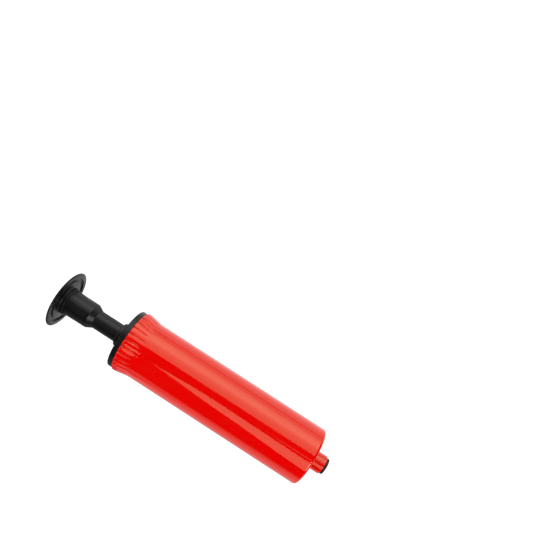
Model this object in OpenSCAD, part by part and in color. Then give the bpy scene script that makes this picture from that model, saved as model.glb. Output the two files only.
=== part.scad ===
// Hand pump for toy balls, lying on its side.
// Every piece is drawn upright round the Z axis, at its height above the outer face of the barrel's
// closed end, and lay() turns the whole pump down so that the nozzle points along +X.
// The origin is on the surface the pump lies on, under the middle of its length. Sizes are in mm.

/* [Barrel] */
// Outside radius of the straight barrel
barrel_r = 16; // [15:0.25:18]
// Length from the outer face of the closed end to the mouth
barrel_len = 112.1; // [100:0.1:130]
// Radius of the bore that the piston runs in
bore_r = 14; // [12.5:0.1:14]
// Thickness of the closed end
floor_t = 2.5; // [2:0.1:3]
// Rounding of the closed end's edge
end_round = 1.4; // [0.5:0.1:2]

/* [Flared mouth] */
// Radius over the ribs at the mouth
flare_r = 17.3; // [16.75:0.05:18.5]
// Length of the flare along the barrel
flare_len = 10.7; // [8:0.1:14]
// Number of ribs round the flare, even so that the pump lies on the two beside its lowest groove
rib_count = 28; // [22:2:30]
// Radius of a rib's rounded back
rib_r = 1.35; // [1.2:0.05:1.5]
// Height of the groove floors over the barrel's surface
groove_floor_rise = 0.15; // [0.1:0.05:0.4]

/* [Nozzle] */
// Outside radius of the nozzle
nozzle_r = 5; // [4.9:0.05:6]
// Length of the nozzle outside the barrel
nozzle_len = 8.1; // [7:0.1:12]
// Chamfer round the nozzle's tip
nozzle_chamfer = 0.5; // [0.2:0.1:0.6]

/* [Needle socket] */
// Radius of the bore at the crests of its 0.305 inch, 32 per inch thread
thread_r = 3.45; // [3.4:0.01:3.5]
// Length of the threaded bore
thread_len = 7; // [6:0.1:7.5]
// Outside radius of the socket inside the nozzle
socket_r = 4.2; // [4.1:0.05:4.3]
// Radius of the socket's rim
rim_r = 4.4; // [4.25:0.05:4.6]
// Length of the rim that stands out of the nozzle
rim_len = 1.1; // [0.8:0.1:1.5]

/* [Outlet valve] */
// Radius of the steel valve ball
ball_r = 2; // [1.75:0.05:2.1]
// Radius of the chamber that the ball lifts in
chamber_r = 3; // [2.8:0.1:3.2]
// How far the valve body stands into the bore, from the closed end's outer face
valve_top = 8; // [7.5:0.1:9]
// Thickness of the rubber seat
seat_t = 1.2; // [1:0.1:1.4]
// Radius of the hole through the seat
seat_hole_r = 1.2; // [1:0.05:1.4]
// Wire diameter of the valve spring
wire_d = 0.4; // [0.3:0.05:0.5]
// Turns of the valve spring
spring_turns = 4; // [3:0.5:5]

/* [End cap] */
// Radius of the flange that covers the mouth
flange_r = 16.65; // [16:0.05:17]
// Thickness of the flange
flange_t = 2.45; // [1.2:0.05:3]
// Rounding of the flange's outer edge
flange_round = 0.7; // [0.3:0.1:1]
// Radius of the collar round the rod
collar_r = 6.6; // [6.2:0.1:9]
// Height of the collar over the flange
collar_h = 4.1; // [2:0.1:6]
// Radius of the recess in the mouth that the cap's skirt fits
skirt_r = 15; // [14.8:0.05:15.2]
// Depth of the skirt
skirt_len = 9; // [6:0.1:10]

/* [Plunger] */
// Radius of the rod
rod_r = 5.1; // [4.8:0.05:5.5]
// Radius of the hollow in the rod
rod_hollow_r = 3.5; // [3:0.1:3.8]
// Radial clearance between rod and cap
rod_gap = 0.08; // [0.05:0.01:0.1]
// How far the handle is drawn out from the position where its nose meets the cap
drawn = 14.1; // [2:0.1:30]

/* [Handle] */
// Radius of the hub at the palm disc
hub_r = 7.1; // [6.5:0.05:8]
// Radius of the hub where its nose begins
hub_waist_r = 6.95; // [6.3:0.05:7.5]
// Radius of the nose's end, on the rod
nose_r = 5.3; // [5.2:0.05:6]
// Length of the conical nose
nose_len = 3.1; // [2:0.1:6]
// Length of the hub from the nose's end to the palm disc's ring
hub_len = 16.6; // [12:0.1:25]
// Radius of the palm disc
disc_r = 16.25; // [14:0.05:20]
// Thickness of the palm disc's full-round rim
disc_rim_t = 0.9; // [0.8:0.1:1.2]
// Rise of the crowned palm face over its rim
crown_h = 1.9; // [1.6:0.1:3]
// Outer radius of the groove in the disc's hub side
groove_r = 13.6; // [11:0.05:14.5]
// Inner radius of that groove
groove_in_r = 11.5; // [9:0.05:12.5]
// Depth of that groove below the rim
groove_depth = 0.85; // [0.5:0.05:1]
// Depth of the face inside the groove below the rim
face_drop = 0.1; // [0.05:0.05:0.4]
// Depth below the rim that the hub stands at
recess_depth = 1; // [0.5:0.1:1.2]

/* [Hidden] */
$fn = 96;
overlap = 0.5;                          // how far a cutter stands past the faces it cuts
play = 0.05;                            // gap between the cup, which stays, and what turns in it

// Stations along the pump, from the closed end's outer face towards the handle
rim_top = -nozzle_len - rim_len;
thread_end = rim_top + thread_len;
socket_end = thread_end + 1.2;
ring_d = 1.2;                           // cord of the socket's o-ring
ring_top = socket_end + ring_d;
valve_wall = 1.5;
seat_top = valve_top - valve_wall - seat_t;
ball_at = seat_top - sqrt(ball_r * ball_r - seat_hole_r * seat_hole_r) - play / 2;
flare_start = barrel_len - flare_len;
mouth_chamfer = 0.3;
skirt_end = barrel_len - skirt_len;
flange_top = barrel_len + flange_t;
collar_top = flange_top + collar_h;
nose_end = collar_top + drawn;
ring_station = nose_end + hub_len;      // top of the ring that the hub stands in
rim_station = ring_station + 2.5;       // hub side of the palm disc's rim
recess_floor = rim_station + recess_depth;
palm_rim = rim_station + disc_rim_t;
palm_top = palm_rim + crown_h;

// The piston, placed so that its screw stops short of the valve body when the handle is pushed home
stop_gap = 0.3;
screw_front = valve_top + drawn + stop_gap;
screw_head_r = 3;
screw_head_t = 1.8;
screw_r = 1.4;
screw_len = 14;
washer_front = screw_front + screw_head_t;
washer_r = 8;
washer_t = 1;
cup_front = washer_front + washer_t + play;
cup_floor_t = 1.8;
lip_reach = 4.2;                        // how far the lip stands past the cup's floor
lip_r = bore_r - play;
cup_root_r = bore_r - 0.6;
lip_t = 0.9;
head_front = cup_front + cup_floor_t + play;
head_t = 4;
head_r = bore_r - 0.3;
head_back = head_front + head_t;
spigot_len = 12;
stop_r = 9;
stop_t = 1.5;
guide_r = 8.5;                          // boss inside the cap that guides the rod
guide_end = skirt_end - 0.4;

// Where the pump lies, on two neighbouring ribs: bottom centre of its bounding box at the origin
x_end = (palm_top + rim_top) / 2;
axis_z = (flare_r - rib_r) * cos(180 / rib_count) + rib_r;

// Turns an upright piece down onto the surface
module lay() {
    translate([x_end, 0, axis_z]) rotate([0, -90, 0]) children();
}

// A ring or disc between two stations
module band(r_out, r_in, from, to) {
    translate([0, 0, from]) difference() {
        cylinder(r = r_out, h = to - from);
        if (r_in > 0) translate([0, 0, -overlap]) cylinder(r = r_in, h = to - from + 2 * overlap);
    }
}

// Outline of half a disc with its top outer edge rounded
module round_topped(r, from, to, edge) {
    square_to = to - edge;
    translate([0, from]) square([r, square_to - from]);
    translate([0, square_to]) square([r - edge, edge]);
    intersection() {
        translate([r - edge, square_to]) circle(r = edge, $fn = 48);
        translate([r - edge, square_to]) square([edge, edge]);
    }
}

// Outline of half a disc with its bottom outer edge rounded
module round_footed(r, from, to, edge) {
    translate([0, from + to]) mirror([0, 1]) round_topped(r, from, to, edge);
}

// The barrel's outside under the ribs, as half an outline
module barrel_outline() {
    groove_r = barrel_r + groove_floor_rise;
    run_in = 1.5;                       // slope from the barrel's surface up to the groove floors
    round_footed(barrel_r, 0, flare_start, end_round);
    polygon([[0, flare_start],
             [barrel_r, flare_start],
             [groove_r, flare_start + run_in],
             [groove_r, barrel_len - mouth_chamfer],
             [groove_r - mouth_chamfer, barrel_len],
             [0, barrel_len]]);
    // Nozzle with its chamfered tip
    polygon([[0, end_round],
             [0, -nozzle_len],
             [nozzle_r - nozzle_chamfer, -nozzle_len],
             [nozzle_r, -nozzle_len + 2 * nozzle_chamfer],
             [nozzle_r, end_round]]);
}

// Ribs that lean out of the barrel's surface and reach their full height at the mouth
module ribs() {
    sunk = 0.1;                         // how deep a rib starts under the surface
    lean = atan((flare_r - barrel_r + sunk) / flare_len);
    for (i = [0 : rib_count - 1])
        rotate((i + 0.5) * 360 / rib_count)
            translate([barrel_r - sunk - rib_r, 0, flare_start])
                rotate([0, lean, 0])
                    cylinder(r = rib_r, h = flare_len + 2 * overlap, $fn = 48);
}

// The hollow inside the barrel, as half an outline
module barrel_hollow() {
    valve_body_r = 5;
    foot = 1;                           // rounding where the valve body meets the closed end
    difference() {
        translate([0, floor_t]) square([bore_r, barrel_len - floor_t + overlap]);
        square([valve_body_r, valve_top]);
        difference() {
            square([valve_body_r + foot, floor_t + foot]);
            translate([valve_body_r + foot, floor_t + foot]) circle(r = foot, $fn = 48);
        }
    }
    translate([0, skirt_end]) square([skirt_r, skirt_len + overlap]);
}

// The stepped passage through nozzle and valve body
module outlet_passage() {
    port_r = 1;
    translate([0, 0, -nozzle_len - overlap]) cylinder(r = socket_r, h = nozzle_len + overlap + ring_top);
    cylinder(r = chamber_r, h = valve_top - valve_wall);
    cylinder(r = port_r, h = valve_top + overlap, $fn = 48);
}

module barrel() {
    color("red") lay() difference() {
        union() {
            rotate_extrude() barrel_outline();
            ribs();
        }
        rotate_extrude() barrel_hollow();
        outlet_passage();
        translate([0, 0, barrel_len]) cylinder(r = flare_r + overlap, h = 4 * overlap);
    }
}

module end_cap() {
    skirt_t = 1.5;
    guide_bore_r = rod_r + rod_gap;
    vent_count = 4;
    vent_r = 0.9;
    vent_at = 10.6;                     // radius of the circle of air vents
    color([0.1, 0.1, 0.1]) lay() difference() {
        rotate_extrude() {
            difference() {
                round_topped(flange_r, barrel_len, flange_top, flange_round);
                translate([0, barrel_len - overlap]) square([guide_bore_r, flange_t + 2 * overlap]);
            }
            difference() {
                round_topped(collar_r, flange_top - overlap, collar_top, 0.9);
                translate([0, barrel_len]) square([guide_bore_r, collar_top]);
            }
            translate([guide_bore_r, guide_end])
                square([guide_r - guide_bore_r, barrel_len - guide_end + overlap]);
            translate([skirt_r - skirt_t, skirt_end]) square([skirt_t, skirt_len + overlap]);
        }
        for (i = [0 : vent_count - 1])
            rotate((i + 0.5) * 360 / vent_count)
                translate([vent_at, 0, barrel_len - overlap])
                    cylinder(r = vent_r, h = flange_t + 2 * overlap, $fn = 32);
    }
}

module needle_socket() {
    passage_r = 1.2;
    lead_in = 0.35;                     // chamfer at the thread's mouth
    color([0.1, 0.1, 0.1]) lay() rotate_extrude() difference() {
        union() {
            round_footed(rim_r, rim_top, -nozzle_len, 0.4);
            translate([0, -nozzle_len - overlap]) square([socket_r, socket_end + nozzle_len + overlap]);
        }
        polygon([[0, rim_top - overlap],
                 [thread_r + lead_in, rim_top - overlap],
                 [thread_r + lead_in, rim_top],
                 [thread_r, rim_top + lead_in],
                 [thread_r, thread_end],
                 [passage_r, thread_end],
                 [passage_r, socket_end + overlap],
                 [0, socket_end + overlap]]);
    }
}

module socket_o_ring() {
    color([0.15, 0.15, 0.15]) lay()
        translate([0, 0, socket_end + ring_d / 2])
            rotate_extrude() translate([socket_r - ring_d / 2 - play, 0]) circle(r = ring_d / 2, $fn = 32);
}

module valve_seat() {
    color([0.15, 0.15, 0.15]) lay()
        band(chamber_r, seat_hole_r, seat_top, seat_top + seat_t);
}

module valve_ball() {
    color([0.8, 0.8, 0.82]) lay() translate([0, 0, ball_at]) sphere(r = ball_r);
}

// Points round the wire at one place along the spring
function wire_ring(turn, coil_r, height, sides) = [
    for (k = [0 : sides - 1])
        let (a = 360 * k / sides, r = coil_r + wire_d / 2 * cos(a))
        [r * cos(360 * turn), r * sin(360 * turn), height + wire_d / 2 * sin(a)]
];

module valve_spring() {
    sides = 8;
    coil_r = 1.5;                       // radius of the coil's centre line, resting round the ball
    steps = round(spring_turns * 18);
    foot = socket_end + wire_d / 2;
    contact = sqrt(pow(ball_r + wire_d / 2, 2) - coil_r * coil_r);
    head = ball_at - contact - play;
    points = [
        for (i = [0 : steps])
            each wire_ring(i / steps * spring_turns, coil_r, foot + (head - foot) * i / steps, sides)
    ];
    skin = [
        for (i = [0 : steps - 1], k = [0 : sides - 1])
            [i * sides + k, i * sides + (k + 1) % sides,
             (i + 1) * sides + (k + 1) % sides, (i + 1) * sides + k]
    ];
    first_end = [for (k = [0 : sides - 1]) sides - 1 - k];
    last_end = [for (k = [0 : sides - 1]) steps * sides + k];
    color([0.75, 0.75, 0.78]) lay() polyhedron(points, concat([first_end], skin, [last_end]), convexity = 8);
}

module piston_rod() {
    color([0.1, 0.1, 0.1]) lay() band(rod_r, rod_hollow_r, head_back, recess_floor);
}

module piston_head() {
    notch_count = 4;
    notch_r = 1.2;
    color([0.85, 0.85, 0.83]) lay() difference() {
        union() {
            translate([0, 0, head_front]) cylinder(r = head_r, h = head_t);
            translate([0, 0, head_back]) cylinder(r = rod_hollow_r, h = spigot_len);
        }
        translate([0, 0, head_front - overlap])
            cylinder(r = screw_r, h = screw_len, $fn = 48);
        for (i = [0 : notch_count - 1])
            rotate(i * 360 / notch_count)
                translate([head_r, 0, head_front - overlap])
                    cylinder(r = notch_r, h = head_t + 2 * overlap, $fn = 32);
    }
}

module piston_cup() {
    lip_end = cup_front - lip_reach;
    hub_hole_r = screw_r + play;
    color([0.15, 0.15, 0.15]) lay() rotate_extrude()
        polygon([[hub_hole_r, cup_front],
                 [cup_root_r - lip_t - 0.8, cup_front],
                 [cup_root_r - lip_t, cup_front - 0.8],
                 [lip_r - lip_t / 2, lip_end],
                 [lip_r, lip_end],
                 [lip_r, lip_end + 0.6],
                 [cup_root_r, cup_front + 0.6],
                 [cup_root_r - 0.6, cup_front + cup_floor_t],
                 [hub_hole_r, cup_front + cup_floor_t]]);
}

module cup_washer() {
    color([0.75, 0.75, 0.78]) lay()
        band(washer_r, screw_r, washer_front, washer_front + washer_t);
}

module piston_screw() {
    slot_w = 0.9;
    slot_len = 3.4;
    slot_depth = 1;
    color([0.75, 0.75, 0.78]) lay() difference() {
        union() {
            rotate_extrude() round_footed(screw_head_r, screw_front, washer_front, 0.8);
            translate([0, 0, screw_front + overlap]) cylinder(r = screw_r, h = screw_len, $fn = 48);
        }
        for (turn = [0, 90])
            rotate(turn) translate([-slot_len / 2, -slot_w / 2, screw_front - overlap])
                cube([slot_len, slot_w, slot_depth + overlap]);
    }
}

module stop_washer() {
    color([0.15, 0.15, 0.15]) lay() band(stop_r, rod_r, head_back, head_back + stop_t);
}

module handle_hub() {
    color([0.1, 0.1, 0.1]) lay() rotate_extrude()
        polygon([[rod_r, nose_end],
                 [nose_r, nose_end],
                 [hub_waist_r, nose_end + nose_len],
                 [hub_r, ring_station],
                 [hub_r, recess_floor],
                 [rod_r, recess_floor]]);
}

module handle_disc() {
    ring_t = 0.65;                      // wall of the ring round the hub
    ring_chamfer = 0.25;
    ring_out = hub_r + ring_t;
    edge = disc_rim_t / 2;
    crown_r = (pow(disc_r - edge, 2) + crown_h * crown_h) / (2 * crown_h);
    color([0.1, 0.1, 0.1]) lay() rotate_extrude() {
        // Rim, floor and crowned palm face
        difference() {
            union() {
                translate([0, rim_station]) square([disc_r - edge, disc_rim_t]);
                intersection() {
                    translate([disc_r - edge, rim_station + edge]) circle(r = edge, $fn = 48);
                    translate([0, rim_station]) square([disc_r + edge, disc_rim_t]);
                }
                intersection() {
                    translate([0, palm_top - crown_r]) circle(r = crown_r, $fn = 256);
                    translate([0, palm_rim]) square([disc_r - edge, crown_h + edge]);
                }
            }
            // Hub's seat, the face round it and the groove round that
            translate([0, rim_station - overlap]) {
                square([hub_r, recess_depth + overlap]);
                square([groove_in_r, face_drop + overlap]);
                translate([groove_in_r, 0]) square([groove_r - groove_in_r, groove_depth + overlap]);
            }
        }
        // Ring that the hub stands in
        polygon([[hub_r, recess_floor + overlap],
                 [hub_r, ring_station],
                 [ring_out - ring_chamfer, ring_station],
                 [ring_out, ring_station + ring_chamfer],
                 [ring_out, recess_floor + overlap]]);
        // Plug in the hollow rod
        translate([0, recess_floor - spigot_len]) square([rod_hollow_r, spigot_len + overlap]);
    }
}

barrel();
end_cap();
needle_socket();
socket_o_ring();
valve_seat();
valve_ball();
valve_spring();
piston_rod();
piston_head();
piston_cup();
cup_washer();
piston_screw();
stop_washer();
handle_hub();
handle_disc();
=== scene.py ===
"""Looks for the ball inflation pump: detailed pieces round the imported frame, studio light and the camera."""
import math

import bmesh
import bpy
from mathutils import Matrix, Vector

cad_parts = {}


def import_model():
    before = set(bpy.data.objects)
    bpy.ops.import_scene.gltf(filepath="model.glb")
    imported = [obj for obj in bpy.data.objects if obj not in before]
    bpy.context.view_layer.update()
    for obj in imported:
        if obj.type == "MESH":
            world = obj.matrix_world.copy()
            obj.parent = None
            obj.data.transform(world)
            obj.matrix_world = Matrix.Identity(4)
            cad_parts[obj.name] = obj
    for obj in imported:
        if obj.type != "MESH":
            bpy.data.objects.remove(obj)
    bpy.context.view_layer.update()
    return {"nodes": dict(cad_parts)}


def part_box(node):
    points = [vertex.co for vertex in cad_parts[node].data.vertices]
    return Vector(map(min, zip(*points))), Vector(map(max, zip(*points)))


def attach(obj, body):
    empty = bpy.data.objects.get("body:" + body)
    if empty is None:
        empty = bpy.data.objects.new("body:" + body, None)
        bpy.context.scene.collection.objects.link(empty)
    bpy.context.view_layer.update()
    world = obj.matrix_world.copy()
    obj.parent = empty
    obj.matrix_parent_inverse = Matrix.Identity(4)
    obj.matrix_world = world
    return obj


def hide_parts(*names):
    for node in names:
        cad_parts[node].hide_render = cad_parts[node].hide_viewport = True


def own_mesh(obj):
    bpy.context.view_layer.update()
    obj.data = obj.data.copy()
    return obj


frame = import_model()

MM = 0.001

# The pump's axis lies along X at this height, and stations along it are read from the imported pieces
AXIS_Z = (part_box("piston_rod")[0].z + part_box("piston_rod")[1].z) / 2
NOZZLE_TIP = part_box("barrel")[1].x
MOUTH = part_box("barrel")[0].x
COLLAR_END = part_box("end_cap")[0].x
SKIRT_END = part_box("end_cap")[1].x
SOCKET_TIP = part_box("needle_socket")[1].x
SOCKET_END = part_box("needle_socket")[0].x
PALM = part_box("handle_disc")[0].x
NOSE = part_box("handle_hub")[1].x
HUB_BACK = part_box("handle_hub")[0].x
NOZZLE_LEN = 8.1 * MM
END_FACE = NOZZLE_TIP - NOZZLE_LEN
NOZZLE_EDGE = NOZZLE_TIP - 0.35 * MM   # where the red ends and the black rim begins
MOUTH_EDGE = MOUTH + 0.5 * MM          # where the black flange ends and the red begins
FLANGE_TOP = COLLAR_END + 4.1 * MM

# Radii that two pieces share
SKIRT_R = 15 * MM
SOCKET_R = 4.2 * MM
HUB_R = 7.1 * MM
ROD_HOLLOW_R = 3.5 * MM


def radius(node):
    """Half the width of a round node, across the pump."""
    low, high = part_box(node)
    return (high.y - low.y) / 2


# ---------------------------------------------------------------- mesh helpers

def rounded(corners, steps=6):
    """A closed outline of (x, r) points from corners (x, r, fillet), with arcs at the filleted corners."""
    outline = []
    count = len(corners)
    for i, (x, r, fillet) in enumerate(corners):
        here = Vector((x, r))
        if fillet <= 0:
            outline.append(here)
            continue
        to_last = (Vector(corners[i - 1][:2]) - here).normalized()
        to_next = (Vector(corners[(i + 1) % count][:2]) - here).normalized()
        half = to_last.angle(to_next) / 2
        reach = fillet / math.tan(half)
        centre = here + (to_last + to_next).normalized() * (fillet / math.sin(half))
        first = here + to_last * reach - centre
        sweep = first.angle_signed(here + to_next * reach - centre)
        hold = min(0.25 * fillet, 0.1 * MM)
        outline.append(centre + first + to_last * hold)
        for k in range(steps + 1):
            turn = Matrix.Rotation(-sweep * k / steps, 2)
            outline.append(centre + turn @ first)
        outline.append(here + to_next * (reach + hold))
    return [(p.x, p.y) for p in outline]


def make_object(name, vertices, faces, body, stands_for, material):
    """A piece that rides on a body and stands for CAD nodes."""
    mesh = bpy.data.meshes.new(name)
    mesh.from_pydata(vertices, [], faces)
    mesh.validate()
    piece = bpy.data.objects.new(name, mesh)
    bpy.context.scene.collection.objects.link(piece)
    piece.data.materials.append(material)
    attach(piece, body)
    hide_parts(*stands_for)
    return piece


def on_axis(x, r, angle):
    """A point at station x, r from the pump's axis; angle 0 is up and a quarter turn is towards +Y."""
    return (x, r * math.sin(angle), AXIS_Z + r * math.cos(angle))


def lathe_mesh(outline, turns=192, shape=None):
    """Vertices and faces of a closed outline turned round the axis. shape(x, r, angle) may bend the surface."""
    vertices, faces = [], []
    for x, r in outline:
        for k in range(turns):
            angle = 2 * math.pi * k / turns
            px, pr = shape(x, r, angle) if shape else (x, r)
            vertices.append(on_axis(px, pr, angle))
    count = len(outline)
    for i in range(count):
        j = (i + 1) % count
        if outline[i][1] == 0 and outline[j][1] == 0:
            continue
        for k in range(turns):
            n = (k + 1) % turns
            faces.append((i * turns + k, i * turns + n, j * turns + n, j * turns + k))
    return vertices, faces


def merge_poles(piece, sharp):
    """Joins points that fell together, turns the faces outward and shades them smooth up to sharp degrees."""
    bm = bmesh.new()
    bm.from_mesh(piece.data)
    bmesh.ops.remove_doubles(bm, verts=bm.verts, dist=1e-7)
    bmesh.ops.recalc_face_normals(bm, faces=bm.faces)
    bm.to_mesh(piece.data)
    bm.free()
    piece.data.shade_smooth()
    piece.data.set_sharp_from_angle(angle=math.radians(sharp))


def lathe(name, outline, body, stands_for, material, turns=192, shape=None, sharp=40):
    """A turned piece. Edges that bend by more than sharp degrees are shaded as edges."""
    vertices, faces = lathe_mesh(outline, turns, shape)
    piece = make_object(name, vertices, faces, body, stands_for, material)
    merge_poles(piece, sharp)
    return piece


# ---------------------------------------------------------------- materials

class Nodes:
    """A small helper round one material's node tree."""

    def __init__(self, name):
        self.material = bpy.data.materials.new(name)
        self.material.use_nodes = True
        self.tree = self.material.node_tree
        self.shader = self.tree.nodes["Principled BSDF"]

    def add(self, kind, **settings):
        """A new node with its inputs or properties set."""
        node = self.tree.nodes.new(kind)
        for key, value in settings.items():
            if key in node.inputs:
                node.inputs[key].default_value = value
            else:
                setattr(node, key, value)
        return node

    def link(self, source, target):
        self.tree.links.new(source, target)

    def noise(self, scale, detail=3.0, roughness=0.5, stretch=(1, 1, 1)):
        """Noise in the piece's own frame, stretched along the axes; returns its value output."""
        place = self.add("ShaderNodeTexCoord")
        mapping = self.add("ShaderNodeMapping")
        mapping.inputs["Scale"].default_value = stretch
        self.link(place.outputs["Object"], mapping.inputs["Vector"])
        noise = self.add("ShaderNodeTexNoise", Scale=scale, Detail=detail, Roughness=roughness)
        self.link(mapping.outputs["Vector"], noise.inputs["Vector"])
        return noise.outputs["Fac"]

    def ramp(self, source, low, high, start=0.35, end=0.65):
        """Maps a 0 to 1 value onto low to high between start and end."""
        node = self.add("ShaderNodeMapRange")
        node.inputs["From Min"].default_value = start
        node.inputs["From Max"].default_value = end
        node.inputs["To Min"].default_value = low
        node.inputs["To Max"].default_value = high
        self.link(source, node.inputs["Value"])
        return node.outputs["Result"]

    def mix(self, factor, first, second):
        """Mixes two colours by a factor output."""
        node = self.add("ShaderNodeMix", data_type="RGBA")
        self.link(factor, node.inputs["Factor"])
        for value, index in ((first, 6), (second, 7)):
            if isinstance(value, tuple):
                node.inputs[index].default_value = (*value, 1)
            else:
                self.link(value, node.inputs[index])
        return node.outputs[2]

    def combine(self, operation, first, second):
        """A math node on two outputs or numbers."""
        node = self.add("ShaderNodeMath", operation=operation)
        for index, value in enumerate((first, second)):
            if isinstance(value, (int, float)):
                node.inputs[index].default_value = value
            else:
                self.link(value, node.inputs[index])
        return node.outputs[0]

    def bump(self, height, distance, strength=1.0, before=None):
        """A bump from a height output, chained after another."""
        node = self.add("ShaderNodeBump", Strength=strength, Distance=distance)
        self.link(height, node.inputs["Height"])
        if before is not None:
            self.link(before, node.inputs["Normal"])
        return node.outputs["Normal"]

    def edge_wear(self, radius_m):
        """About 1 on convex edges and 0 on flat faces, from a bevelled normal's angle to the true one."""
        bevel = self.add("ShaderNodeBevel", samples=4)
        bevel.inputs["Radius"].default_value = radius_m
        geometry = self.add("ShaderNodeNewGeometry")
        dot = self.add("ShaderNodeVectorMath", operation="DOT_PRODUCT")
        self.link(bevel.outputs["Normal"], dot.inputs[0])
        self.link(geometry.outputs["Normal"], dot.inputs[1])
        return self.ramp(dot.outputs["Value"], 1.0, 0.0, 0.85, 1.0)


def red_plastic():
    """Glossy moulded red plastic with faint flow lines along the barrel, an uneven gloss and fine scuffs."""
    m = Nodes("red_gloss_plastic")
    flow = m.noise(60, 3, 0.5, (0.12, 1, 1))
    mottle = m.noise(90, 4, 0.6)
    scuffs = m.noise(700, 2, 0.7, (0.08, 1, 1))
    tone = m.ramp(flow, 0.0, 1.0, 0.3, 0.7)
    moulded = m.mix(tone, (0.645, 0.0003, 0.0002), (0.675, 0.0007, 0.0004))
    worn = m.mix(m.combine("MULTIPLY", m.edge_wear(0.2 * MM), 0.35), moulded, (0.74, 0.02, 0.014))
    m.link(worn, m.shader.inputs["Base Color"])
    gloss = m.combine("ADD", m.ramp(mottle, 0.05, 0.08), m.ramp(scuffs, 0.0, 0.05, 0.6, 0.85))
    m.link(gloss, m.shader.inputs["Roughness"])
    wave = m.bump(flow, 0.04 * MM, 0.3)
    peel = m.bump(m.noise(900, 2, 0.5), 0.004 * MM, 0.4, wave)
    m.link(peel, m.shader.inputs["Normal"])
    m.shader.inputs["IOR"].default_value = 1.5
    m.shader.inputs["Specular Tint"].default_value = (0.75, 1.0, 0.62, 1)
    return m.material


def black_plastic():
    """Semi-gloss black moulded plastic with a fine grain, cloudy gloss and paler worn edges."""
    m = Nodes("black_semigloss_plastic")
    cloud = m.noise(120, 4, 0.6)
    grain = m.noise(1800, 2, 0.6)
    body = m.mix(m.ramp(cloud, 0.0, 1.0, 0.3, 0.7), (0.0042, 0.0040, 0.0042), (0.0062, 0.0060, 0.0062))
    worn = m.mix(m.combine("MULTIPLY", m.edge_wear(0.25 * MM), 0.5), body, (0.045, 0.045, 0.046))
    m.link(worn, m.shader.inputs["Base Color"])
    m.link(m.combine("ADD", m.ramp(cloud, 0.28, 0.36), m.ramp(grain, 0.0, 0.05)), m.shader.inputs["Roughness"])
    m.link(m.bump(grain, 0.01 * MM, 0.45, m.bump(cloud, 0.04 * MM, 0.3)), m.shader.inputs["Normal"])
    m.shader.inputs["IOR"].default_value = 1.5
    m.shader.inputs["Specular IOR Level"].default_value = 0.22
    return m.material


def natural_plastic():
    """Milky uncoloured plastic of the piston head."""
    m = Nodes("natural_matt_plastic")
    cloud = m.noise(150, 4, 0.6)
    milky = m.mix(m.ramp(cloud, 0.0, 1.0), (0.62, 0.6, 0.54), (0.72, 0.7, 0.65))
    rubbed = m.mix(m.combine("MULTIPLY", m.edge_wear(0.3 * MM), 0.5), milky, (0.5, 0.48, 0.42))
    m.link(rubbed, m.shader.inputs["Base Color"])
    m.link(m.ramp(cloud, 0.45, 0.6), m.shader.inputs["Roughness"])
    m.link(m.bump(m.noise(1500, 2, 0.5), 0.01 * MM, 0.4), m.shader.inputs["Normal"])
    return m.material


def seal_rubber():
    """Black rubber with a dusty bloom and a fine pitted grain."""
    m = Nodes("seal_rubber")
    bloom = m.noise(220, 5, 0.65)
    dusty = m.mix(m.ramp(bloom, 0.0, 1.0), (0.018, 0.018, 0.018), (0.05, 0.048, 0.045))
    worn = m.mix(m.combine("MULTIPLY", m.edge_wear(0.2 * MM), 0.5), dusty, (0.09, 0.088, 0.085))
    m.link(worn, m.shader.inputs["Base Color"])
    m.link(m.ramp(bloom, 0.6, 0.8), m.shader.inputs["Roughness"])
    m.link(m.bump(m.noise(2500, 3, 0.6), 0.02 * MM, 0.5), m.shader.inputs["Normal"])
    return m.material


def bright_steel():
    """Zinc-bright steel with fine drawing lines and light tarnish."""
    m = Nodes("bright_steel")
    tarnish = m.noise(300, 4, 0.6)
    zinc = m.mix(m.ramp(tarnish, 0.0, 1.0), (0.5, 0.5, 0.52), (0.68, 0.67, 0.65))
    worn = m.mix(m.combine("MULTIPLY", m.edge_wear(0.15 * MM), 0.6), zinc, (0.82, 0.81, 0.79))
    m.link(worn, m.shader.inputs["Base Color"])
    m.link(m.ramp(tarnish, 0.18, 0.34), m.shader.inputs["Roughness"])
    m.link(m.bump(m.noise(3000, 2, 0.5, (1, 0.1, 0.1)), 0.005 * MM, 0.4), m.shader.inputs["Normal"])
    m.shader.inputs["Metallic"].default_value = 1.0
    return m.material


RED = red_plastic()
BLACK = black_plastic()
NATURAL = natural_plastic()
RUBBER = seal_rubber()
STEEL = bright_steel()


# ---------------------------------------------------------------- barrel

BARREL_R = 16 * MM
BORE_R = 14 * MM
NOZZLE_R = 5 * MM
FLARE_R = 17.27 * MM
FLARE_LEN = 11.4 * MM
FLARE_FOOT = 0.07 * MM     # the step at the flare's start
RISE_START = 9.8 * MM      # from the mouth, where the ribs begin to rise
RISE_END = 0.7 * MM        # and where they stop
RIBS = 28
RIB_LEN = 10.6 * MM
RIB_HALF = 1.7 * MM        # half a rib's width
RIB_WALL = 0.35 * MM       # width of the slope at its side
RIB_CROWN = 0.2 * MM
GROOVE_DEPTH = 0.35 * MM
MOUTH_GROOVE = 0.45 * MM   # how much deeper the grooves get over the last 4 mm
LIP_ROUND = 0.8 * MM


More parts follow.
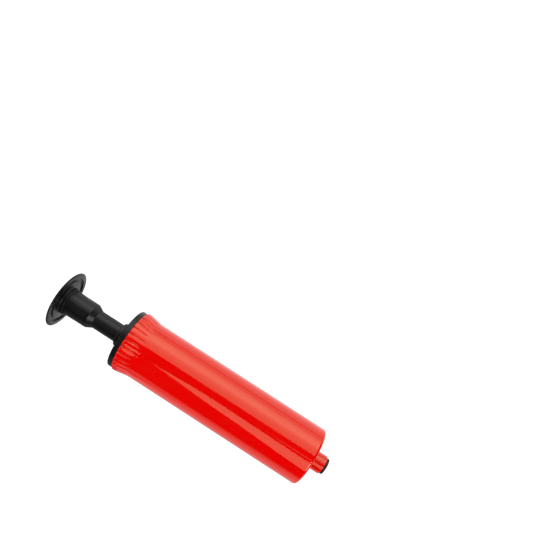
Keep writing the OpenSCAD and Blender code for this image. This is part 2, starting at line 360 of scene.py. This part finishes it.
def rib_surface(x, r, angle):
    """The barrel's outside in the flare: crowned, round-ended ribs that rise towards the mouth."""
    from_mouth = x - MOUTH_EDGE
    if from_mouth > FLARE_LEN or r < BARREL_R - 0.02 * MM:
        return x, r
    pitch = 2 * math.pi / RIBS
    off = angle % pitch - pitch / 2
    beyond = max(0.0, from_mouth - RIB_LEN + RIB_HALF)
    out = math.hypot(BARREL_R * off, beyond)
    wall = min(1.0, max(0.0, (out - RIB_HALF + RIB_WALL) / RIB_WALL))
    along = min(1.0, max(0.0, (RISE_START - from_mouth) / (RISE_START - RISE_END)))
    rise = FLARE_FOOT + (FLARE_R - BARREL_R - FLARE_FOOT) * along ** 2 * (3 - 2 * along)
    depth = min(rise, GROOVE_DEPTH + MOUTH_GROOVE * max(0.0, 1 - from_mouth / (4 * MM)))
    crown = min(RIB_CROWN, 0.7 * rise) * (min(out, RIB_HALF) / RIB_HALF) ** 2
    surface = BARREL_R + rise - crown - (depth - crown) * wall ** 2 * (3 - 2 * wall)
    if from_mouth < LIP_ROUND:
        surface -= LIP_ROUND - math.sqrt(LIP_ROUND ** 2 - (LIP_ROUND - from_mouth) ** 2)
    return x, max(surface, r)


def barrel_outline():
    """The barrel's wall, nozzle and valve body as one closed loop."""
    valve_top = END_FACE - 8 * MM
    seat_end = valve_top + 1.5 * MM
    ring_step = SOCKET_END - 1.2 * MM
    valve_r = 3 * MM
    outer = [(NOZZLE_EDGE, SOCKET_R, 0), (NOZZLE_EDGE, NOZZLE_R - 0.45 * MM, 0.1 * MM),
             (NOZZLE_EDGE - 0.35 * MM, NOZZLE_R, 0.15 * MM), (END_FACE, NOZZLE_R, 0.35 * MM),
             (END_FACE, BARREL_R, 1.4 * MM)]
    rows = 48
    flare = [(MOUTH_EDGE + FLARE_LEN * (1 - i / rows), BARREL_R, 0) for i in range(rows)]
    mouth = [(MOUTH_EDGE + d * MM, BARREL_R, 0) for d in (0.16, 0.09, 0.04, 0.01)]
    inner = [(MOUTH_EDGE, BARREL_R - 0.15 * MM, 0), (MOUTH_EDGE, SKIRT_R, 0.1 * MM), (SKIRT_END, SKIRT_R, 0),
             (SKIRT_END, BORE_R, 0.2 * MM), (END_FACE - 2.5 * MM, BORE_R, 0.5 * MM),
             (END_FACE - 2.5 * MM, NOZZLE_R, 0.9 * MM), (valve_top, NOZZLE_R, 0.4 * MM),
             (valve_top, 1 * MM, 0.15 * MM), (seat_end, 1 * MM, 0), (seat_end, valve_r, 0),
             (ring_step, valve_r, 0), (ring_step, SOCKET_R, 0)]
    return rounded(outer + flare + mouth + inner)


lathe("barrel_shell", barrel_outline(), "barrel", ["barrel"], RED,
      turns=RIBS * 28, shape=rib_surface, sharp=75)


# ---------------------------------------------------------------- end cap

def end_cap_outline():
    """The cap's collar, flange, skirt and inner guide round the rod's bore."""
    rod_bore = 5.18 * MM
    collar_r = 6.6 * MM
    guide_r = 8.5 * MM
    skirt_bore = SKIRT_R - 1.5 * MM
    flange_r = radius("end_cap")
    guide_end = SKIRT_END + 0.4 * MM
    return rounded([
        (COLLAR_END, rod_bore, 0.25 * MM), (COLLAR_END, collar_r, 0.9 * MM),
        (FLANGE_TOP, collar_r, 0.3 * MM), (FLANGE_TOP, flange_r, 0.7 * MM),
        (MOUTH_EDGE, flange_r, 0.15 * MM), (MOUTH_EDGE, SKIRT_R, 0), (SKIRT_END, SKIRT_R, 0.2 * MM),
        (SKIRT_END, skirt_bore, 0.2 * MM), (MOUTH, skirt_bore, 0.4 * MM),
        (MOUTH, guide_r, 0.4 * MM), (guide_end, guide_r, 0.3 * MM), (guide_end, rod_bore, 0.2 * MM)])


def cut_vents(piece):
    """Cuts four chamfered air vents through the cap's flange."""
    vent_r, vent_at, chamfer = 0.9 * MM, 10.6 * MM, 0.2 * MM
    clear = 0.3 * MM
    stations = ((FLANGE_TOP - clear, vent_r + chamfer + clear), (FLANGE_TOP, vent_r + chamfer),
                (FLANGE_TOP + chamfer, vent_r), (MOUTH + 2 * clear, vent_r))
    sides = 32
    vertices, faces = [], []
    for vent in range(4):
        around = math.radians(45 + 90 * vent)
        first = len(vertices)
        for x, r in stations:
            for k in range(sides):
                a = 2 * math.pi * k / sides
                vertices.append((x, vent_at * math.sin(around) + r * math.sin(a),
                                 AXIS_Z + vent_at * math.cos(around) + r * math.cos(a)))
        for row in range(len(stations) - 1):
            for k in range(sides):
                n = (k + 1) % sides
                faces.append((first + row * sides + k, first + row * sides + n,
                              first + (row + 1) * sides + n, first + (row + 1) * sides + k))
        faces.append(tuple(first + k for k in reversed(range(sides))))
        faces.append(tuple(first + (len(stations) - 1) * sides + k for k in range(sides)))
    mesh = bpy.data.meshes.new("vent_cutter")
    mesh.from_pydata(vertices, [], faces)
    cutter = bpy.data.objects.new("vent_cutter", mesh)
    bpy.context.scene.collection.objects.link(cutter)
    merge_poles(cutter, 40)
    modifier = piece.modifiers.new("vents", "BOOLEAN")
    modifier.object = cutter
    modifier.solver = "EXACT"
    whole = piece.evaluated_get(bpy.context.evaluated_depsgraph_get())
    cut = bpy.data.meshes.new_from_object(whole)
    piece.modifiers.remove(modifier)
    piece.data = cut
    cut.shade_smooth()
    cut.set_sharp_from_angle(angle=math.radians(25))
    bpy.data.objects.remove(cutter)


end_cap = lathe("end_cap_moulding", end_cap_outline(), "barrel", ["end_cap"], BLACK)
cut_vents(end_cap)


# ---------------------------------------------------------------- needle socket

THREAD_R = 3.45 * MM
THREAD_PITCH = 25.4 / 32 * MM
THREAD_DEPTH = 0.4 * MM
THREAD_LEN = 7 * MM
THREAD_END = SOCKET_TIP - THREAD_LEN
LEAD_IN = 0.35 * MM


def thread_surface(x, r, angle):
    """A 60 degree thread winding up the socket's bore, fading out at both ends."""
    end_clear = 0.3 * MM
    from_end, from_tip = x - THREAD_END - end_clear, SOCKET_TIP - end_clear - x
    if abs(r - THREAD_R) > 0.15 * MM or from_end < 0 or from_tip < 0:
        return x, r
    phase = ((x - THREAD_END) / THREAD_PITCH - angle / (2 * math.pi)) % 1
    fade = min(1, from_end / (0.5 * MM), from_tip / (0.3 * MM))
    ridge = 1 - abs(2 * phase - 1)
    return x, r + THREAD_DEPTH * fade * min(1, max(0, 1.5 * ridge - 0.25))


def socket_outline():
    """The insert's rim, its threaded bore with a chamfered mouth, and the air hole at its inner end."""
    rim_r = radius("needle_socket")
    air_r = 1.2 * MM
    rows = 90
    bore = [(SOCKET_TIP - LEAD_IN - (THREAD_LEN - LEAD_IN) * i / rows, THREAD_R, 0) for i in range(rows + 1)]
    return rounded([(SOCKET_TIP, THREAD_R + LEAD_IN, 0)] + bore + [
        (THREAD_END, air_r, 0.2 * MM), (SOCKET_END, air_r, 0.15 * MM), (SOCKET_END, SOCKET_R, 0.2 * MM),
        (NOZZLE_EDGE, SOCKET_R, 0), (NOZZLE_EDGE, rim_r, 0.12 * MM), (SOCKET_TIP, rim_r, 0.3 * MM)])


lathe("needle_socket_insert", socket_outline(), "barrel", ["needle_socket"], BLACK,
      turns=128, shape=thread_surface)


# ---------------------------------------------------------------- plunger

ROD_R = radius("piston_rod")
ROD_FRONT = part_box("piston_rod")[1].x


def hub_outline():
    """The sleeve with its conical nose, widening a little towards the disc's ring."""
    nose_r, nose_len = 5.3 * MM, 3.1 * MM
    waist_r = 6.95 * MM
    ring_x = HUB_BACK + 3.45 * MM
    return rounded([
        (NOSE, ROD_R, 0), (NOSE, nose_r, 0.08 * MM), (NOSE - nose_len, waist_r, 0.7 * MM),
        (ring_x, HUB_R, 0), (HUB_BACK, HUB_R, 0), (HUB_BACK, ROD_R, 0)])


def disc_outline():
    """The crowned palm face with its gate mark, the round rim, the groove and face on the hub's side, the ring
    that the hub stands in, and the spigot in the hollow rod."""
    rim_x = HUB_BACK + 1 * MM
    groove_x, groove_r, groove_in_r = rim_x - 0.85 * MM, 13.6 * MM, 11.5 * MM
    face_x = rim_x - 0.1 * MM
    ring_x, ring_r = rim_x + 2.5 * MM, HUB_R + 0.65 * MM
    rim_half = 0.45 * MM
    crown_h = rim_x - 2 * rim_half - PALM
    edge_r = radius("handle_disc") - rim_half
    crown_r = (edge_r ** 2 + crown_h ** 2) / (2 * crown_h)
    steps = 14
    gate = [(0, 0.06), (0.35, 0.06), (0.45, 0.25), (0.9, 0.25), (1.1, 0.03), (1.3, 0)]
    face = [(r * MM, dip * MM) for r, dip in gate] + [(edge_r * i / steps, 0) for i in range(2, steps + 1)]
    crown = [(PALM + dip + crown_r - math.sqrt(crown_r ** 2 - r ** 2), r, 0) for r, dip in face]
    edge = [(rim_x - rim_half - rim_half * math.cos(math.pi * k / 10),
             edge_r + rim_half * math.sin(math.pi * k / 10), 0) for k in range(1, 10)]
    spigot_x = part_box("handle_disc")[1].x
    return rounded(crown + edge + [
        (rim_x, edge_r, 0), (rim_x, groove_r, 0.3 * MM), (groove_x, groove_r, 0.3 * MM),
        (groove_x, groove_in_r, 0.25 * MM), (face_x, groove_in_r, 0.3 * MM), (face_x, ring_r, 0.7 * MM),
        (ring_x, ring_r, 0.32 * MM), (ring_x, HUB_R, 0.3 * MM), (HUB_BACK, HUB_R, 0),
        (HUB_BACK, ROD_HOLLOW_R, 0), (spigot_x, ROD_HOLLOW_R, 0.4 * MM), (spigot_x, 0, 0)])


rod_outline = rounded([(HUB_BACK, ROD_HOLLOW_R, 0), (HUB_BACK, ROD_R, 0.1 * MM),
                       (ROD_FRONT, ROD_R, 0.1 * MM), (ROD_FRONT, ROD_HOLLOW_R, 0)])
lathe("piston_rod_tube", rod_outline, "plunger", ["piston_rod"], BLACK)
lathe("handle_hub_sleeve", hub_outline(), "plunger", ["handle_hub"], BLACK)
lathe("handle_palm_disc", disc_outline(), "plunger", ["handle_disc"], BLACK, turns=256)


# ---------------------------------------------------------------- valve spring

def valve_spring():
    """A wound wire spring with closed ends, built at the valve spring node's length; the real one shortens as the
    ball lifts.
    """
    low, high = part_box("valve_spring")
    wire = 0.2 * MM
    coil = radius("valve_spring") - wire
    foot, head = high.x - wire, low.x + wire
    turns, steps, sides, closed = 5.0, 240, 12, 0.8
    pitch = ((foot - head) - 4 * wire * closed) / (turns - 2 * closed)
    vertices, faces = [], []
    for i in range(steps + 1):
        turn = turns * i / steps
        climb = 2 * wire * min(turn, closed) + pitch * min(max(turn - closed, 0), turns - 2 * closed)
        climb += 2 * wire * max(0, turn - turns + closed)
        angle = 2 * math.pi * turn
        for k in range(sides):
            a = 2 * math.pi * k / sides
            vertices.append(on_axis(foot - climb + wire * math.sin(a), coil + wire * math.cos(a), angle))
    for i in range(steps):
        for k in range(sides):
            n = (k + 1) % sides
            faces.append((i * sides + k, (i + 1) * sides + k, (i + 1) * sides + n, i * sides + n))
    faces.append(tuple(range(sides)))
    faces.append(tuple(steps * sides + k for k in reversed(range(sides))))
    spring = make_object("valve_spring_wire", vertices, faces, "barrel", ["valve_spring"], STEEL)
    merge_poles(spring, 40)
    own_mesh(spring)


valve_spring()


# ---------------------------------------------------------------- carried-over CAD pieces

def finish_node(node, material):
    """Gives a carried-over CAD node its material."""
    mesh = frame["nodes"][node].data
    mesh.materials.clear()
    mesh.materials.append(material)


for node, material in (("piston_head", NATURAL), ("piston_cup", RUBBER), ("stop_washer", RUBBER),
                       ("valve_seat", RUBBER), ("socket_o_ring", RUBBER), ("cup_washer", STEEL),
                       ("piston_screw", STEEL), ("valve_ball", STEEL)):
    finish_node(node, material)


# ---------------------------------------------------------------- studio

def sheet(name, vertices, faces, glow, seen_by_camera=False):
    """A glowing sheet with a radiance at each vertex. Unless the camera sees it, only reflections do."""
    mesh = bpy.data.meshes.new(name)
    mesh.from_pydata(vertices, [], faces)
    mesh.attributes.new("glow", "FLOAT", "POINT").data.foreach_set("value", glow)
    piece = bpy.data.objects.new(name, mesh)
    bpy.context.scene.collection.objects.link(piece)
    m = Nodes(name)
    strength = m.add("ShaderNodeAttribute", attribute_name="glow")
    m.link(strength.outputs["Fac"], m.shader.inputs["Emission Strength"])
    m.shader.inputs["Emission Color"].default_value = (1, 1, 1, 1)
    m.shader.inputs["Base Color"].default_value = (0.1, 0.1, 0.1, 1) if seen_by_camera else (0, 0, 0, 1)
    m.shader.inputs["Specular IOR Level"].default_value = 0.0
    mesh.materials.append(m.material)
    piece.visible_camera = seen_by_camera
    piece.visible_diffuse = seen_by_camera
    piece.visible_glossy = not seen_by_camera
    piece.visible_shadow = False


def grid(name, xs, ys, z, glow_at, seen_by_camera=False):
    """A level sheet over a grid of x and y places, glowing as glow_at(x, y) says."""
    vertices = [(x, y, z) for x in xs for y in ys]
    rows = len(ys)
    faces = [(i * rows + j, (i + 1) * rows + j, (i + 1) * rows + j + 1, i * rows + j + 1)
             for i in range(len(xs) - 1) for j in range(rows - 1)]
    sheet(name, vertices, faces, [glow_at(x, y) for x, y, _ in vertices], seen_by_camera)


def floor():
    """A plain white table, and a sheet just over it that only the pump's gloss sees, painting the table's
    reflection: bright on the key light's side, with a darker band of painted shadow a hand's width off, dimmer
    with painted shade on the other side and under the handle, and streaks of painted light and shade by the disc."""
    far = 6.0
    above = 0.0002
    # painted light and shade on the table by the disc, seen only in reflections: bright patches and painted
    # shadow at set distances from the disc
    painted_light_and_shade_by_disc = {-0.085: 0.35, -0.079: 0.4, -0.0745: 1.5, -0.0725: 1.0, -0.0708: 0.3, -0.0695: 0.35,
               -0.068: 0.7, -0.052: 0.5}
    disc_side = 0.0221
    handle_end = -0.04

    def glow(x, y):
        # a painted shadow band across the table a hand's width off on the +Y side
        if 0.092 <= y <= 0.12:
            return 0.45
        if abs(y) < disc_side and x in painted_light_and_shade_by_disc:
            return painted_light_and_shade_by_disc[x]
        # the lit table on the +Y side, a little darker with painted shade beyond the handle and in a band beside
        # the pump
        if y > 0.01:
            return 1.3 if x < handle_end or 0.022 <= y <= 0.06 else 1.5
        # painted shade on the -Y side: darkest under the handle, dimmer near the pump than farther off
        if x < handle_end:
            return 0.3
        return 0.55 if y > -0.05 else 0.75

    grid("floor", (-far, far), (-far, far), 0.0, lambda x, y: 1.1, seen_by_camera=True)
    grid("painted_table_reflection", (-far, -0.087, *painted_light_and_shade_by_disc, -0.05, -0.041, -0.039, far),
         (-far, -0.07, -0.05, -0.024, -0.022, 0.009, 0.0101, 0.022, 0.024, 0.05, 0.06, 0.09, 0.092, 0.12,
          0.122, far), above, glow)


def softbox(name, rows):
    """Rows of (x_from, x_to, zenith angle, radiance) on a sheet curved round the pump, 1 m off.

    The zenith angle is from straight up towards +Y, in degrees."""
    vertices, faces, glow = [], [], []
    for i, (x_from, x_to, zenith, radiance) in enumerate(rows):
        a = math.radians(zenith)
        y, z = math.sin(a), AXIS_Z + math.cos(a)
        vertices += [(x_from, y, z), (x_to, y, z)]
        glow += [radiance, radiance]
        if i:
            faces.append((2 * i - 2, 2 * i - 1, 2 * i + 1, 2 * i))
    sheet(name, vertices, faces, glow)


def lights():
    """A long softbox on the +Y side, a pointed one overhead towards the nozzle with a sliver beside it and a
    brighter one beyond it, one beyond the handle, a low strip on the -Y side, and a black flag that draws the
    closed end's edge."""
    softbox("key_softbox", [(-1.5, 0.45, zenith, radiance) for zenith, radiance in
                            ((26, 0.9), (29, 1.6), (39, 1.8), (51, 2.3), (60, 3.3), (65, 3.6), (75, 3.1),
                             (87, 2.2), (90.5, 1.2))])
    softbox("top_softbox", [(-0.02, 0.04, -0.8, 1.3), (-0.06, 0.2, -3.2, 1.8), (-0.066, 0.55, -3.6, 1.8),
                            (-0.092, 0.55, -5.7, 1.9), (-0.155, 0.55, -11, 1.9), (-0.092, 0.55, -15.2, 2.0),
                            (-0.029, 0.55, -21, 2.0), (0.033, 0.55, -25, 2.0), (0.095, 0.55, -28, 1.9),
                            (0.158, 0.55, -33, 1.9), (0.22, 0.55, -38, 1.8), (0.3, 0.55, -41, 1.6)])
    softbox("top_sliver", [(0.16, 0.55, 9, 0.0), (0.19, 0.55, 6.5, 1.0), (0.16, 0.55, 4, 0.2)])
    softbox("end_softbox", [(0.56, 1.1, 0, 9.0), (0.56, 1.1, -40, 9.0)])
    softbox("handle_softbox", [(-2.5, -0.8, 22, 1.9), (-2.5, -0.8, -45, 1.9)])
    softbox("low_strip", [(-1.5, 1.5, -75, 0.0), (-1.5, 1.5, -90.5, 0.8)])
    beyond = END_FACE + 0.1
    sheet("end_flag", [(beyond, 0.0, 0.001), (beyond, 0.15, 0.001), (beyond, 0.15, 0.12), (beyond, 0.0, 0.12)],
          [(0, 1, 2, 3)], [0.0] * 4)


def world():
    """White behind everything for the camera, an even white sky for diffuse light, dark for the reflections."""
    sky = bpy.data.worlds.new("studio")
    bpy.context.scene.world = sky
    sky.use_nodes = True
    tree = sky.node_tree
    background = tree.nodes["Background"]
    background.inputs["Color"].default_value = (1, 1, 1, 1)
    path = tree.nodes.new("ShaderNodeLightPath")
    total = tree.nodes.new("ShaderNodeMath")
    total.operation = "MULTIPLY_ADD"
    total.inputs[1].default_value = 1.25
    tree.links.new(path.outputs["Is Diffuse Ray"], total.inputs[0])
    tree.links.new(path.outputs["Is Camera Ray"], total.inputs[2])
    tree.links.new(total.outputs[0], background.inputs["Strength"])


def camera():
    """Looks down from 15 degrees to the +Y side of the pump's axis, so that the pump lies low and to the left."""
    lens = bpy.data.cameras.new("camera")
    lens.sensor_width = 36
    lens.lens = 36.46
    lens.shift_x = 0.03
    lens.shift_y = 0.075
    eye = bpy.data.objects.new("camera", lens)
    bpy.context.scene.collection.objects.link(eye)
    bpy.context.scene.camera = eye
    place = Vector((17.204, 75.527, 297.396)) * MM
    target = Vector((7.256, 48.627, 17.25)) * MM
    forward = (target - place).normalized()
    up = Vector((-0.53799, 0.84070, -0.06162))
    right = forward.cross(up).normalized()
    up = right.cross(forward)
    eye.matrix_world = Matrix((right, up, -forward)).transposed().to_4x4()
    eye.location = place


floor()
lights()
world()
camera()
bpy.context.scene.view_settings.view_transform = "Standard"
